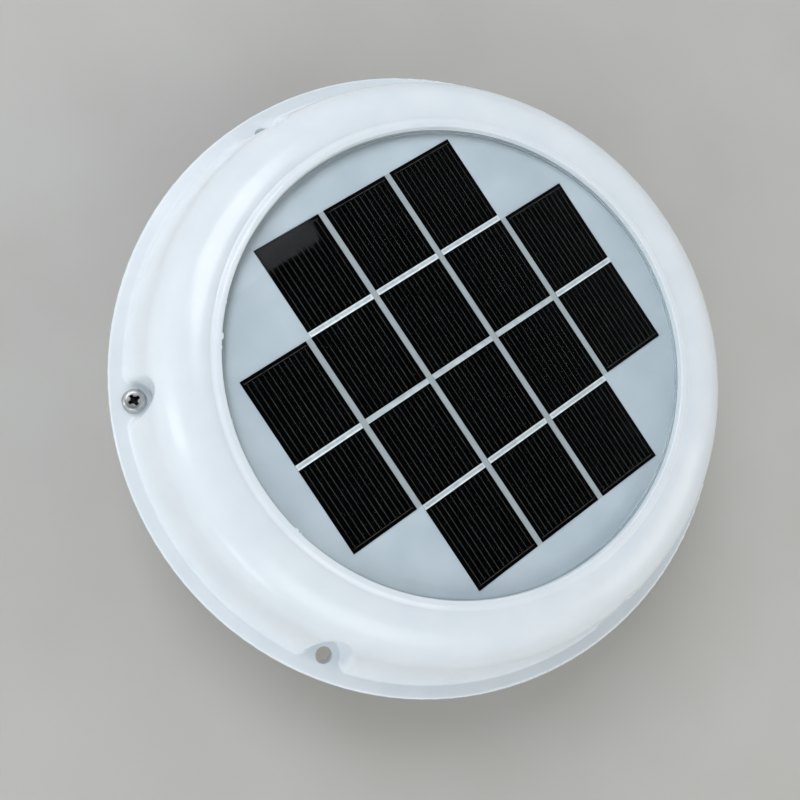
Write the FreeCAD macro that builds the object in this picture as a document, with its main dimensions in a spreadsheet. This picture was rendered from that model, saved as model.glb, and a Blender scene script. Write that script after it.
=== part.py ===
import FreeCAD, Part
import math
import os
import Sketcher
from FreeCAD import Placement, Rotation, Vector

# Solar attic fan: a domed cover with a solar panel stands off the roof on six feet, and a
# duct housing below it holds the motor, the impeller and a shutter.
# z = 0 is the roof's surface, the origin is the centre of the circle of deck screws, +Z is up.

doc = FreeCAD.newDocument("SolarAtticFan")
sheet = doc.addObject("Spreadsheet::Sheet", "sizes")


class Size:
    # A dimension in millimetres with the sheet expression that gives it.
    def __init__(self, mm, words):
        self.mm = mm
        self.words = words

    def __add__(self, other):
        other = sized(other)
        return Size(self.mm + other.mm, f"({self.words} + {other.words})")

    def __sub__(self, other):
        other = sized(other)
        return Size(self.mm - other.mm, f"({self.words} - {other.words})")

    def __mul__(self, factor):
        factor = sized(factor)
        return Size(self.mm * factor.mm, f"({self.words} * {factor.words})")

    def __truediv__(self, other):
        other = sized(other)
        return Size(self.mm / other.mm, f"({self.words} / {other.words})")

    def __neg__(self):
        return Size(-self.mm, f"(0 - {self.words})")


def sized(value):
    if isinstance(value, Size):
        return value
    return Size(float(value), f"({value:.9f})")


def length_of(across, along):
    square = across * across + along * along
    return Size(math.sqrt(square.mm), f"sqrt({square.words})")


def larger_of(first, second):
    return Size(max(first.mm, second.mm), f"max({first.words}; {second.words})")


cell_rows = []


def size(alias, mm):
    cell_rows.append(alias)
    cell = f"A{len(cell_rows)}"
    sheet.set(cell, str(mm))
    sheet.setAlias(cell, alias)
    return Size(float(mm), f"sizes.{alias}")


# Solar panel
cell_width = size("cell_width", 25.0)
cell_length = size("cell_length", 31.25)
cell_thickness = size("cell_thickness", 0.3)
column_gap = size("column_gap", 2.1)
row_gap = size("row_gap", 1.9)
ribbon_width = size("ribbon_width", 1.5)
grid_angle = size("grid_angle", 27.1)
backing_thickness = size("backing_thickness", 1.0)
glass_thickness = size("glass_thickness", 1.6)
panel_margin = size("panel_margin", 2.2)
panel_clearance = size("panel_clearance", 0.5)
panel_depth = size("panel_depth", 2.4)
sealant_drop = size("sealant_drop", 0.3)

# Top cover
wall = size("wall", 2.5)
lip_width = size("lip_width", 3.4)
lip_height = size("lip_height", 0.6)
crown_width = size("crown_width", 15.3)
crown_drop = size("crown_drop", 2.1)
shoulder_round = size("shoulder_round", 20.0)
wall_lean = size("wall_lean", 11.5)
flange_width = size("flange_width", 5.2)
flange_thickness = size("flange_thickness", 2.5)
stand_off = size("stand_off", 5.0)
dome_rise = size("dome_rise", 33.5)
seat_thickness = size("seat_thickness", 2.2)
flange_round = size("flange_round", 1.125)
lip_round = size("lip_round", 0.48)

# Deck screws, their holes, feet and pockets
screw_inset = size("screw_inset", 8.2)
hole_radius = size("hole_radius", 2.9)
foot_radius = size("foot_radius", 6.0)
pocket_radius = size("pocket_radius", 6.2)
pocket_flare = size("pocket_flare", 0.8)
pocket_round = size("pocket_round", 3.0)
crease_round = size("crease_round", 1.2)
deck_screw_radius = size("deck_screw_radius", 2.1)
deck_screw_head = size("deck_screw_head", 4.1)
deck_screw_head_height = size("deck_screw_head_height", 2.6)
deck_screw_length = size("deck_screw_length", 25.0)

# Duct housing
collar_radius = size("collar_radius", 59.0)
collar_wall = size("collar_wall", 2.0)
collar_drop = size("collar_drop", 38.5)
upstand = size("upstand", 14.0)
deck_flange_width = size("deck_flange_width", 16.0)
deck_flange_thickness = size("deck_flange_thickness", 2.5)
gasket_thickness = size("gasket_thickness", 2.0)
gasket_inset = size("gasket_inset", 1.0)
locating_step = size("locating_step", 1.5)
post_offset = size("post_offset", 8.5)
post_radius = size("post_radius", 4.4)
driver_radius = size("driver_radius", 3.5)
shank_clearance = size("shank_clearance", 0.3)
arm_width = size("arm_width", 4.0)
arm_low = size("arm_low", 6.0)
arm_height = size("arm_height", 6.0)
ledge_width = size("ledge_width", 1.6)
ledge_height = size("ledge_height", 1.2)
snap_reach = size("snap_reach", 0.8)
snap_height = size("snap_height", 0.6)
grille_height = size("grille_height", 6.7)
gasket_hole_clearance = size("gasket_hole_clearance", 0.5)

# Housing screws and motor screws
housing_screw_radius = size("housing_screw_radius", 1.6)
housing_screw_head = size("housing_screw_head", 3.1)
housing_screw_head_height = size("housing_screw_head_height", 2.2)
housing_screw_length = size("housing_screw_length", 16.0)
motor_screw_radius = size("motor_screw_radius", 1.25)
motor_screw_head = size("motor_screw_head", 2.2)
motor_screw_head_height = size("motor_screw_head_height", 1.1)
motor_screw_length = size("motor_screw_length", 4.0)
motor_screw_circle = size("motor_screw_circle", 8.0)

# Motor
motor_radius = size("motor_radius", 16.0)
motor_length = size("motor_length", 20.0)
motor_low = size("motor_low", 12.0)
can_wall = size("can_wall", 0.8)
cup_clearance = size("cup_clearance", 0.2)
cup_wall = size("cup_wall", 2.0)
cup_headroom = size("cup_headroom", 5.0)
cup_mouth = size("cup_mouth", 4.5)
lid_hole_radius = size("lid_hole_radius", 2.1)
end_cap_thickness = size("end_cap_thickness", 2.0)
end_cap_skirt = size("end_cap_skirt", 3.0)
magnet_thickness = size("magnet_thickness", 2.7)
magnet_length = size("magnet_length", 12.0)
magnet_lift = size("magnet_lift", 3.2)
magnet_sweep = 130.0
air_gap = size("air_gap", 0.6)
core_length = size("core_length", 9.0)
core_middle_radius = size("core_middle_radius", 3.5)
shoe_depth = size("shoe_depth", 1.8)
shoe_sweep = 100.0
winding_depth = size("winding_depth", 1.4)
winding_inner_gap = size("winding_inner_gap", 0.9)
winding_outer_gap = size("winding_outer_gap", 0.6)
pole_width = size("pole_width", 3.2)
commutator_radius = size("commutator_radius", 3.0)
commutator_length = size("commutator_length", 3.0)
commutator_gap = size("commutator_gap", 0.4)
brush_clearance = size("brush_clearance", 0.05)
brush_end_gap = size("brush_end_gap", 0.1)
brush_width = size("brush_width", 2.0)
brush_height = size("brush_height", 1.4)
shaft_radius = size("shaft_radius", 1.0)
shaft_clearance = size("shaft_clearance", 0.03)
shaft_stub = size("shaft_stub", 0.5)
bearing_radius = size("bearing_radius", 3.0)
bearing_length = size("bearing_length", 2.6)
terminal_thickness = size("terminal_thickness", 0.6)
terminal_width = size("terminal_width", 2.4)
terminal_height = size("terminal_height", 3.0)
terminal_offset = size("terminal_offset", 10.0)

# Impeller
hub_clearance = size("hub_clearance", 1.8)
hub_wall = size("hub_wall", 2.0)
hub_height = size("hub_height", 18.0)
hub_web = size("hub_web", 2.5)
hub_skirt = size("hub_skirt", 6.5)
hub_boss_radius = size("hub_boss_radius", 4.0)
hub_boss_height = size("hub_boss_height", 4.0)
cap_height = size("cap_height", 2.0)
cap_clearance = size("cap_clearance", 0.1)
cap_gap = size("cap_gap", 0.5)
cup_floor_clearance = size("cup_floor_clearance", 2.6)
tip_clearance = size("tip_clearance", 2.0)
blade_thickness = size("blade_thickness", 1.6)
blade_root_sink = size("blade_root_sink", 0.3)
blade_tip_bow = size("blade_tip_bow", 1.8)
root_chord = size("root_chord", 20.0)
tip_chord = size("tip_chord", 26.0)
root_pitch = 45.0
tip_pitch = 25.0
blade_count = 7

# Screen, grille and shutter
screen_thickness = size("screen_thickness", 0.8)
screen_rim = size("screen_rim", 4.0)
screen_wire = size("screen_wire", 0.5)
screen_pitch = size("screen_pitch", 9.0)
grille_thickness = size("grille_thickness", 2.0)
rim_clearance = size("rim_clearance", 0.1)
shutter_gap = size("shutter_gap", 0.4)
shutter_thickness = size("shutter_thickness", 1.8)
shutter_clearance = size("shutter_clearance", 0.7)
sector_inner = size("sector_inner", 12.0)
sector_rim = size("sector_rim", 5.5)
pivot_radius = size("pivot_radius", 3.0)
pivot_clearance = size("pivot_clearance", 0.05)
pivot_head = size("pivot_head", 6.0)
pivot_head_height = size("pivot_head_height", 1.2)
boss_radius = size("boss_radius", 7.0)
boss_height = size("boss_height", 2.2)
pivot_end_play = size("pivot_end_play", 0.2)
fin_thickness = size("fin_thickness", 2.0)
fin_height = size("fin_height", 3.5)
fin_length = size("fin_length", 26.0)
fin_inset = size("fin_inset", 8.0)
sector_count = 8
sector_angle = 22.5

# Wiring
wire_radius = size("wire_radius", 0.7)
wire_spacing = size("wire_spacing", 2.2)
wire_clearance = size("wire_clearance", 0.1)
grommet_radius = size("grommet_radius", 5.0)
grommet_flange = size("grommet_flange", 7.0)
grommet_flange_height = size("grommet_flange_height", 1.5)
grommet_recess = size("grommet_recess", 0.8)
pad_radius = size("pad_radius", 1.5)
pad_height = size("pad_height", 0.6)
lead_rise = size("lead_rise", 4.0)
lead_drop = size("lead_drop", 5.0)

doc.recompute()

ZERO = sized(0)

# Heights of the cover
flange_top = stand_off + flange_thickness
crown_top = flange_top + dome_rise
shoulder_height = crown_top - crown_drop
lip_top = crown_top + lip_height
glass_top = lip_top - panel_depth
cell_top = glass_top - glass_thickness
cell_low = cell_top - cell_thickness
seat_top = cell_low - backing_thickness
seat_low = seat_top - seat_thickness

# Radii of the cover, outwards from the cells
column_pitch = cell_width + column_gap
row_pitch = cell_length + row_gap
# The grid reaches furthest at the corners of its three middle columns or of its two middle rows.
column_corner = length_of(cell_width * 1.5 + column_gap, cell_length * 2 + row_gap * 1.5)
row_corner = length_of(cell_width * 2.5 + column_gap * 2, cell_length + row_gap / 2)
panel_radius = larger_of(column_corner, row_corner) + panel_margin
recess_radius = panel_radius + panel_clearance
lip_radius = recess_radius + lip_width
shoulder_radius = lip_radius + crown_width
crease_radius = shoulder_radius + wall_lean
flange_radius = crease_radius + flange_width
screw_circle = flange_radius - screw_inset
pocket_top_radius = pocket_radius + pocket_flare

# Heights and radii of the housing
gasket_top = gasket_thickness
deck_flange_top = gasket_top + deck_flange_thickness
deck_flange_radius = collar_radius + deck_flange_width
duct_radius = collar_radius - collar_wall
post_circle = collar_radius + post_offset
tower_top = upstand
driver_depth = tower_top - collar_wall * 2.5
arm_top = arm_low + arm_height
collar_low = -collar_drop

# Motor
cup_inner = motor_radius + cup_clearance
cup_outer = cup_inner + cup_wall
can_low = -motor_low
can_top = can_low + motor_length
cup_low = can_low - cup_wall
end_cap_top = can_top + end_cap_thickness
cup_top = end_cap_top + cup_headroom
motor_cover_top = cup_top + cup_wall
can_inner = motor_radius - can_wall
magnet_inner = can_inner - magnet_thickness
core_radius = magnet_inner - air_gap
magnet_low = can_low + magnet_lift
core_low = magnet_low + winding_depth
core_top = core_low + core_length
commutator_low = core_top + winding_depth + commutator_gap
commutator_top = commutator_low + commutator_length
brush_low = commutator_low + (commutator_length - brush_height) / 2
brush_top = brush_low + brush_height
lower_bearing_top = can_low + bearing_length
upper_bearing_low = end_cap_top - bearing_length
skirt_inner = can_inner - can_wall * 2
terminal_top = end_cap_top + terminal_height

# Impeller
hub_inner = cup_outer + hub_clearance
hub_outer = hub_inner + hub_wall
web_top = cup_low - cup_floor_clearance
web_low = web_top - hub_web
hub_low = web_low - hub_skirt
hub_top = hub_low + hub_height
blade_middle = (hub_low + hub_top) / 2
tip_radius = duct_radius - tip_clearance
hub_boss_low = web_low - hub_boss_height
shaft_low = hub_low + cap_height + cap_gap

# Screen, grille and shutter, downwards from the ledge in the collar
grille_radius = duct_radius - rim_clearance
grille_low = collar_low + grille_height
grille_top = grille_low + grille_thickness
screen_low = grille_top
screen_top = screen_low + screen_thickness
ledge_low = screen_top
shutter_top = grille_low - shutter_gap
shutter_low = shutter_top - shutter_thickness
shutter_radius = duct_radius - snap_reach - shutter_clearance
sector_outer = shutter_radius - sector_rim
boss_low = shutter_low - boss_height
pivot_head_top = boss_low - pivot_end_play
pivot_low = pivot_head_top - pivot_head_height

# Grommet and solder pads under the panel
grommet_top = seat_top - grommet_recess
grommet_flange_low = seat_low - grommet_flange_height
pad_low = seat_top - pad_height

nodes = {}


def node(label, shape_object):
    shape_object.Label = label
    nodes[label] = shape_object
    return shape_object


def place(thing, x=ZERO, y=ZERO, z=ZERO, turn=0.0):
    spot = Vector(sized(x).mm, sized(y).mm, sized(z).mm)
    thing.Placement = Placement(spot, Rotation(Vector(0, 0, 1), turn))
    thing.setExpression("Placement.Base.x", sized(x).words)
    thing.setExpression("Placement.Base.y", sized(y).words)
    thing.setExpression("Placement.Base.z", sized(z).words)
    return thing


def ring_place(radius, angle):
    turn = math.radians(angle)
    return radius * math.cos(turn), radius * math.sin(turn)


def drum(name, radius, low, high, x=ZERO, y=ZERO, sweep=360.0, turn=0.0):
    cylinder = doc.addObject("Part::Cylinder", name)
    cylinder.setExpression("Radius", radius.words)
    cylinder.setExpression("Height", (high - low).words)
    cylinder.Angle = sweep
    return place(cylinder, x, y, low, turn)


def cone(name, low_radius, high_radius, low, high, x=ZERO, y=ZERO, turn=0.0):
    frustum = doc.addObject("Part::Cone", name)
    frustum.setExpression("Radius1", low_radius.words)
    frustum.setExpression("Radius2", high_radius.words)
    frustum.setExpression("Height", (high - low).words)
    return place(frustum, x, y, low, turn)


def block(name, corner, extent, turn=0.0):
    box = doc.addObject("Part::Box", name)
    box.setExpression("Length", sized(extent[0]).words)
    box.setExpression("Width", sized(extent[1]).words)
    box.setExpression("Height", sized(extent[2]).words)
    return place(box, corner[0], corner[1], corner[2], turn)


def spoke(name, inner, outer, width, low, high, angle):
    # A bar that runs out along a radius, centred on it.
    turn = math.radians(angle)
    x = inner * math.cos(turn) + width * (0.5 * math.sin(turn))
    y = inner * math.sin(turn) - width * (0.5 * math.cos(turn))
    return block(name, (x, y, low), (outer - inner, width, high - low), angle)


def fuse(name, pieces):
    union = doc.addObject("Part::MultiFuse", name)
    union.Shapes = pieces
    return union


def cut(name, base, tools):
    difference = doc.addObject("Part::Cut", name)
    difference.Base = base
    difference.Tool = tools if not isinstance(tools, list) else fuse(name + "_tools", tools)
    return difference


def common(name, first, second):
    overlap = doc.addObject("Part::MultiCommon", name)
    overlap.Shapes = [first, second]
    return overlap


def group(name, pieces):
    compound = doc.addObject("Part::Compound", name)
    compound.Links = pieces
    return compound


def tube(name, outer, inner, low, high, x=ZERO, y=ZERO):
    return cut(name, drum(name + "_outside", outer, low, high, x, y), drum(name + "_bore", inner, low, high, x, y))


def origin_plane(body, role):
    return next(plane for plane in body.Origin.OriginFeatures if plane.Role == role)


def bind(sketch, index, value):
    if "sizes." in value.words:
        sketch.setExpression(f"Constraints[{index}]", value.words)


def outline(sketch, corners):
    # A closed outline of straight runs. A corner is (x, y) or (x, y, round).
    points = [(sized(corner[0]), sized(corner[1])) for corner in corners]
    rounds = [corner[2] if len(corner) > 2 else None for corner in corners]
    flat = [Vector(x.mm, y.mm, 0) for x, y in points]
    count = len(flat)
    enter = list(flat)
    leave = list(flat)
    for i in range(count):
        if rounds[i] is None:
            continue
        back = (flat[i - 1] - flat[i]).normalize()
        ahead = (flat[(i + 1) % count] - flat[i]).normalize()
        half = back.getAngle(ahead) / 2
        enter[i] = flat[i] + back * (rounds[i].mm / math.tan(half))
        leave[i] = flat[i] + ahead * (rounds[i].mm / math.tan(half))
    for i in range(count):
        sketch.addGeometry(Part.LineSegment(leave[i], enter[(i + 1) % count]), False)
    for i in range(count):
        x, y = points[i]
        if rounds[i] is None:
            sketch.addConstraint(Sketcher.Constraint("Coincident", (i - 1) % count, 2, i, 1))
            bind(sketch, sketch.addConstraint(Sketcher.Constraint("DistanceX", -1, 1, i, 1, x.mm)), x)
            bind(sketch, sketch.addConstraint(Sketcher.Constraint("DistanceY", -1, 1, i, 1, y.mm)), y)
            continue
        back = (flat[i - 1] - flat[i]).normalize()
        ahead = (flat[(i + 1) % count] - flat[i]).normalize()
        half = back.getAngle(ahead) / 2
        centre = flat[i] + (back + ahead).normalize() * (rounds[i].mm / math.sin(half))
        left_turn = back.cross(ahead).z < 0
        first, last = (enter[i], leave[i]) if left_turn else (leave[i], enter[i])
        circle = Part.Circle(centre, Vector(0, 0, 1), rounds[i].mm)
        start = math.atan2(first.y - centre.y, first.x - centre.x)
        end = math.atan2(last.y - centre.y, last.x - centre.x)
        arc = sketch.addGeometry(Part.ArcOfCircle(circle, start, end), False)
        corner = sketch.addGeometry(Part.Point(flat[i]), True)
        enter_end, leave_end = (1, 2) if left_turn else (2, 1)
        sketch.addConstraint(Sketcher.Constraint("Tangent", (i - 1) % count, 2, arc, enter_end))
        sketch.addConstraint(Sketcher.Constraint("Tangent", arc, leave_end, i, 1))
        bind(sketch, sketch.addConstraint(Sketcher.Constraint("Radius", arc, rounds[i].mm)), rounds[i])
        bind(sketch, sketch.addConstraint(Sketcher.Constraint("DistanceX", -1, 1, corner, 1, x.mm)), x)
        bind(sketch, sketch.addConstraint(Sketcher.Constraint("DistanceY", -1, 1, corner, 1, y.mm)), y)
        sketch.addConstraint(Sketcher.Constraint("PointOnObject", corner, 1, (i - 1) % count))
        sketch.addConstraint(Sketcher.Constraint("PointOnObject", corner, 1, i))


def sketch_on(body, role, name, corners):
    sketch = body.newObject("Sketcher::SketchObject", name)
    sketch.AttachmentSupport = [(origin_plane(body, role), "")]
    sketch.MapMode = "FlatFace"
    outline(sketch, corners)
    return sketch


def turned(name, corners):
    # A piece turned about Z from its half section, corners as (radius, height).
    body = doc.addObject("PartDesign::Body", name)
    sketch = sketch_on(body, "XZ_Plane", name + "_section", corners)
    revolution = body.newObject("PartDesign::Revolution", name + "_turning")
    revolution.Profile = sketch
    revolution.ReferenceAxis = (sketch, ["V_Axis"])
    revolution.Angle = 360.0
    sketch.Visibility = False
    return body


# ---- Top cover: dome, flange, feet, screw pockets and the seat of the panel ----

foot_angles = [60.0 * k for k in range(6)]
post_angles = [45.0 + 90.0 * k for k in range(4)]

cover_outside = turned("cover_outside", [
    (ZERO, stand_off),
    (flange_radius, stand_off, flange_round),
    (flange_radius, flange_top, flange_round),
    (crease_radius, flange_top),
    (shoulder_radius, shoulder_height, shoulder_round),
    (lip_radius, crown_top),
    (lip_radius, lip_top, lip_round),
    (recess_radius, lip_top, lip_round),
    (recess_radius, seat_top),
    (ZERO, seat_top),
])

# The inside follows the outside one wall further in. These shares of the wall come from the
# slopes of the dome's side and crown: the side's foot, and the shoulder's mitre in and down.
foot_mitre = 1.07
shoulder_mitre_in = 0.73
shoulder_mitre_down = 0.91
inner_foot = crease_radius - wall * foot_mitre
inner_shoulder = shoulder_radius - wall * shoulder_mitre_in
inner_shoulder_height = shoulder_height - wall * shoulder_mitre_down
recess_outside = recess_radius + seat_thickness
cover_inside = turned("cover_inside", [
    (ZERO, stand_off - wall),
    (inner_foot, stand_off - wall),
    (inner_foot, flange_top),
    (inner_shoulder, inner_shoulder_height, shoulder_round - wall),
    (recess_outside, crown_top - wall),
    (recess_outside, seat_low),
    (ZERO, seat_low),
])

pockets = []
pocket_walls = []
feet = []
holes = []
for k, angle in enumerate(foot_angles):
    x, y = ring_place(screw_circle, angle)
    pockets.append(cone(f"pocket_{k + 1}", pocket_radius, pocket_top_radius, flange_top, crown_top, x, y, angle))
    pocket_walls.append(cone(f"pocket_wall_{k + 1}", pocket_radius + wall, pocket_top_radius + wall,
                             stand_off - wall * 2, crown_top, x, y, angle))
    feet.append(drum(f"foot_{k + 1}", foot_radius, ZERO, stand_off + flange_thickness / 2, x, y))
    holes.append(drum(f"hole_{k + 1}", hole_radius, -stand_off, crown_top, x, y))

posts = []
pilots = []
for k, angle in enumerate(post_angles):
    x, y = ring_place(post_circle, angle)
    posts.append(drum(f"post_{k + 1}", post_radius, tower_top, seat_low + seat_thickness / 2, x, y))
    pilots.append(drum(f"pilot_{k + 1}", housing_screw_radius, tower_top - wall, seat_low - wall, x, y))

scooped = cut("cover_scooped", cover_outside, pockets)
doc.recompute()


# How near a point is to a face to lie on it, and how far a rim edge climbs at least.
on_face = 0.02
on_plane = 0.001
least_climb = 0.5


def on_pocket(point, angle):
    # Whether a point lies on the wall of the pocket at that angle.
    x, y = ring_place(screw_circle, angle)
    rise = (point.z - flange_top.mm) / dome_rise.mm
    reach = math.hypot(point.x - x.mm, point.y - y.mm)
    return abs(reach - pocket_radius.mm - pocket_flare.mm * rise) < on_face


pocket_rims = []
for index, edge in enumerate(scooped.Shape.Edges, 1):
    points = edge.discretize(5)
    climbs = edge.BoundBox.ZLength > least_climb
    if climbs and any(all(on_pocket(point, angle) for point in points) for angle in foot_angles):
        pocket_rims.append((index, pocket_round.mm, pocket_round.mm))
rounded = doc.addObject("Part::Fillet", "cover_rounded")
rounded.Base = scooped
rounded.Edges = pocket_rims

doc.recompute()

# The crease where the dome and the pockets meet the flange.
crease_edges = []
for index, edge in enumerate(rounded.Shape.Edges, 1):
    points = edge.discretize(5)
    inside = all(math.hypot(point.x, point.y) < flange_radius.mm - flange_round.mm - on_face for point in points)
    if inside and all(abs(point.z - flange_top.mm) < on_plane for point in points):
        crease_edges.append((index, crease_round.mm, crease_round.mm))
softened = doc.addObject("Part::Fillet", "cover_softened")
softened.Base = rounded
softened.Edges = crease_edges

hollow = cut("cover_hollow", cover_inside, pocket_walls)
shell = cut("cover_shell", softened, hollow)
wire_way = drum("wire_way", grommet_radius, seat_low - wall, seat_top + wall)
standing = fuse("cover_standing", [shell] + feet + posts)
node("top_cover", cut("top_cover", standing, holes + pilots + [wire_way]))


# A pan-head screw's tip as shares of its shank, and its crown and cross recess as shares of its head.
tip_share = 0.35
taper_share = 1.6
crown_share = 0.7
recess_reach = 0.52
recess_half_width = 0.15
recess_floor = 0.4


def pan_screw(name, shank, head, head_height, length, x, y, seat, up):
    # A pan-head screw seated on the plane z = seat, with its head above the plane if up is true.
    body = turned(name, [
        (ZERO, -length),
        (shank * tip_share, -length),
        (shank, -length + shank * taper_share),
        (shank, ZERO),
        (head, ZERO),
        (head, head_height, head_height * crown_share),
        (ZERO, head_height),
    ])
    reach = head * recess_reach
    half_width = head * recess_half_width
    floor = head_height * recess_floor
    slots = [block(name + "_slot_x", (-reach, -half_width, floor), (reach * 2, half_width * 2, head_height)),
             block(name + "_slot_y", (half_width, -reach, floor), (reach * 2, half_width * 2, head_height), 90.0)]
    screw = cut(name + "_cross", body, slots)
    spot = Vector(sized(x).mm, sized(y).mm, seat.mm)
    flip = Rotation() if up else Rotation(Vector(1, 0, 0), 180)
    screw.Placement = Placement(spot, flip)
    screw.setExpression("Placement.Base.x", sized(x).words)
    screw.setExpression("Placement.Base.y", sized(y).words)
    screw.setExpression("Placement.Base.z", seat.words)
    return screw


node("flange_screw", pan_screw("deck_screw", deck_screw_radius, deck_screw_head, deck_screw_head_height,
                               deck_screw_length, -screw_circle, ZERO, flange_top, True))

# ---- Solar panel ----

node("panel_backing", drum("backing", panel_radius, seat_top, cell_low))
node("panel_glass", drum("glass", panel_radius, cell_top, glass_top))
node("panel_sealant", tube("sealant", recess_radius, panel_radius, seat_top, glass_top - sealant_drop))

# The grid's columns lie across and its rows along; the outer rows leave out their end columns.
grid_turn = math.radians(grid_angle.mm)
grid_across = (Size(math.cos(grid_turn), "cos(sizes.grid_angle)"), Size(math.sin(grid_turn), "sin(sizes.grid_angle)"))
grid_columns = {0: (1, 2, 3), 1: (0, 1, 2, 3, 4), 2: (0, 1, 2, 3, 4), 3: (1, 2, 3)}


def on_grid(name, across, along, width, length, low, height):
    # A thin block centred on a point of the cell grid.
    x = across - width / 2
    y = along - length / 2
    tile = block(name, (x * grid_across[0] - y * grid_across[1], x * grid_across[1] + y * grid_across[0], low),
                 (width, length, height))
    tile.setExpression("Placement.Rotation.Angle", grid_angle.words)
    return tile


number = 0
for row, columns in grid_columns.items():
    for column in columns:
        number += 1
        across = column_pitch * (column - 2)
        along = row_pitch * (1.5 - row)
        node(f"solar_cell_{number:02d}", on_grid(f"cell_{number}", across, along, cell_width, cell_length,
                                                 cell_low, cell_thickness))

ribbons = []
for row in range(3):
    for column in range(5):
        if column in grid_columns[row] and column in grid_columns[row + 1]:
            along = row_pitch * (1.0 - row)
            ribbons.append(on_grid(f"ribbon_{row}_{column}", column_pitch * (column - 2), along,
                                   cell_width, ribbon_width, cell_low, cell_thickness))
node("cell_ribbons", group("ribbon_set", ribbons))

node("wire_grommet", cut("grommet", fuse("grommet_form", [
    drum("grommet_plug", grommet_radius, seat_low, grommet_top),
    drum("grommet_rim", grommet_flange, grommet_flange_low, seat_low),
]), [drum(f"grommet_bore_{side}", wire_radius + wire_clearance, grommet_flange_low - wall, seat_top,
          wire_spacing * side) for side in (-1, 1)]))
node("solder_terminals", group("pads", [drum(f"pad_{side}", pad_radius, pad_low, seat_top, wire_spacing * side)
                                        for side in (-1, 1)]))

# ---- Duct housing ----

duct_skin = turned("duct_skin", [
    (duct_radius, collar_low),
    (collar_radius, collar_low),
    (collar_radius, ZERO),
    (collar_radius + locating_step, ZERO),
    (collar_radius + locating_step, gasket_top),
    (deck_flange_radius, gasket_top),
    (deck_flange_radius, deck_flange_top),
    (collar_radius, deck_flange_top),
    (collar_radius, upstand),
    (duct_radius, upstand),
    (duct_radius, ledge_low + ledge_height + ledge_width),
    (duct_radius - ledge_width, ledge_low + ledge_height),
    (duct_radius - ledge_width, ledge_low),
    (duct_radius, ledge_low),
    (duct_radius, grille_low - rim_clearance),
    (duct_radius - snap_reach, grille_low - rim_clearance - snap_height / 2),
    (duct_radius, grille_low - rim_clearance - snap_height),
])
motor_cup = turned("motor_cup", [
    (cup_mouth, cup_low),
    (cup_outer, cup_low, cup_wall),
    (cup_outer, cup_top),
    (cup_inner, cup_top),
    (cup_inner, can_low),
    (cup_mouth, can_low),
])
arms = [spoke(f"arm_{k + 1}", cup_outer - cup_wall / 2, duct_radius + collar_wall / 2, arm_width,
              arm_low, arm_top, 90.0 * k) for k in range(4)]
towers = []
tower_holes = []
for k, angle in enumerate(post_angles):
    x, y = ring_place(post_circle, angle)
    towers.append(drum(f"tower_{k + 1}", post_radius + wall / 2, gasket_top, tower_top, x, y))
    tower_holes.append(drum(f"driver_way_{k + 1}", driver_radius, -wall, driver_depth, x, y))
    tower_holes.append(drum(f"shank_way_{k + 1}", housing_screw_radius + shank_clearance, -wall,
                            tower_top + wall, x, y))
motor_holes = [drum(f"motor_hole_{side}", motor_screw_radius, cup_low - wall, can_low + wall,
                    motor_screw_circle * side) for side in (-1, 1)]
housing_form = fuse("housing_form", [duct_skin, motor_cup] + arms + towers)
node("duct_housing", cut("duct_housing", housing_form, tower_holes + motor_holes))

gasket_holes = [drum(f"gasket_hole_{k + 1}", driver_radius + gasket_hole_clearance, -wall, gasket_top + wall,
                     *ring_place(post_circle, angle)) for k, angle in enumerate(post_angles)]
node("deck_gasket", cut("gasket", tube("gasket_ring", deck_flange_radius - gasket_inset,
                                       collar_radius + locating_step, ZERO, gasket_top), gasket_holes))
node("housing_screws", group("housing_screw_set", [
    pan_screw(f"housing_screw_{k + 1}", housing_screw_radius, housing_screw_head, housing_screw_head_height,
              housing_screw_length, *ring_place(post_circle, angle), driver_depth, False)
    for k, angle in enumerate(post_angles)]))

node("motor_cover", cut("motor_lid", fuse("motor_lid_form", [
    drum("motor_lid_plate", cup_outer, cup_top, motor_cover_top),
    tube("motor_lid_skirt", cup_inner - cup_clearance, cup_inner - cup_wall, cup_top - cup_wall, cup_top),
]), [drum(f"lid_hole_{side}", lid_hole_radius, cup_low, motor_cover_top + wall, terminal_offset * side)
     for side in (-1, 1)]))

# ---- Motor ----

can_form = cut("can_form", drum("can_outside", motor_radius, can_low, can_top),
               drum("can_inside", can_inner, can_low + can_wall, can_top))
node("motor_can", cut("can", can_form, [drum("can_mouth", bearing_radius, can_low - wall, can_low + wall)] + [
    drum(f"can_hole_{side}", motor_screw_radius, can_low - wall, can_low + wall, motor_screw_circle * side)
    for side in (-1, 1)]))
node("motor_end_cap", cut("end_cap", fuse("end_cap_form", [
    drum("end_cap_plate", motor_radius, can_top, end_cap_top),
    tube("end_cap_ring", can_inner, skirt_inner, can_top - end_cap_skirt, can_top),
]), [drum("end_cap_bore", bearing_radius, can_top - wall, end_cap_top + wall)] + [
    block(f"terminal_slot_{side}", (terminal_offset * side - terminal_thickness / 2, -terminal_width / 2,
                                    can_top - wall),
          (terminal_thickness, terminal_width, end_cap_thickness + wall * 2)) for side in (-1, 1)]))
node("motor_magnets", group("magnet_pair", [
    cut(f"magnet_{side}", drum(f"magnet_out_{side}", can_inner, magnet_low, magnet_low + magnet_length,
                               sweep=magnet_sweep, turn=middle - magnet_sweep / 2),
        drum(f"magnet_in_{side}", magnet_inner, magnet_low - wall, magnet_low + magnet_length + wall))
    for side, middle in (("left", 90.0), ("right", 270.0))]))
node("lower_bearing", tube("bearing_low", bearing_radius, shaft_radius + shaft_clearance, can_low,
                           lower_bearing_top))
node("upper_bearing", tube("bearing_high", bearing_radius, shaft_radius + shaft_clearance, upper_bearing_low,
                           end_cap_top))
brush_inner = commutator_radius + brush_clearance
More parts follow.
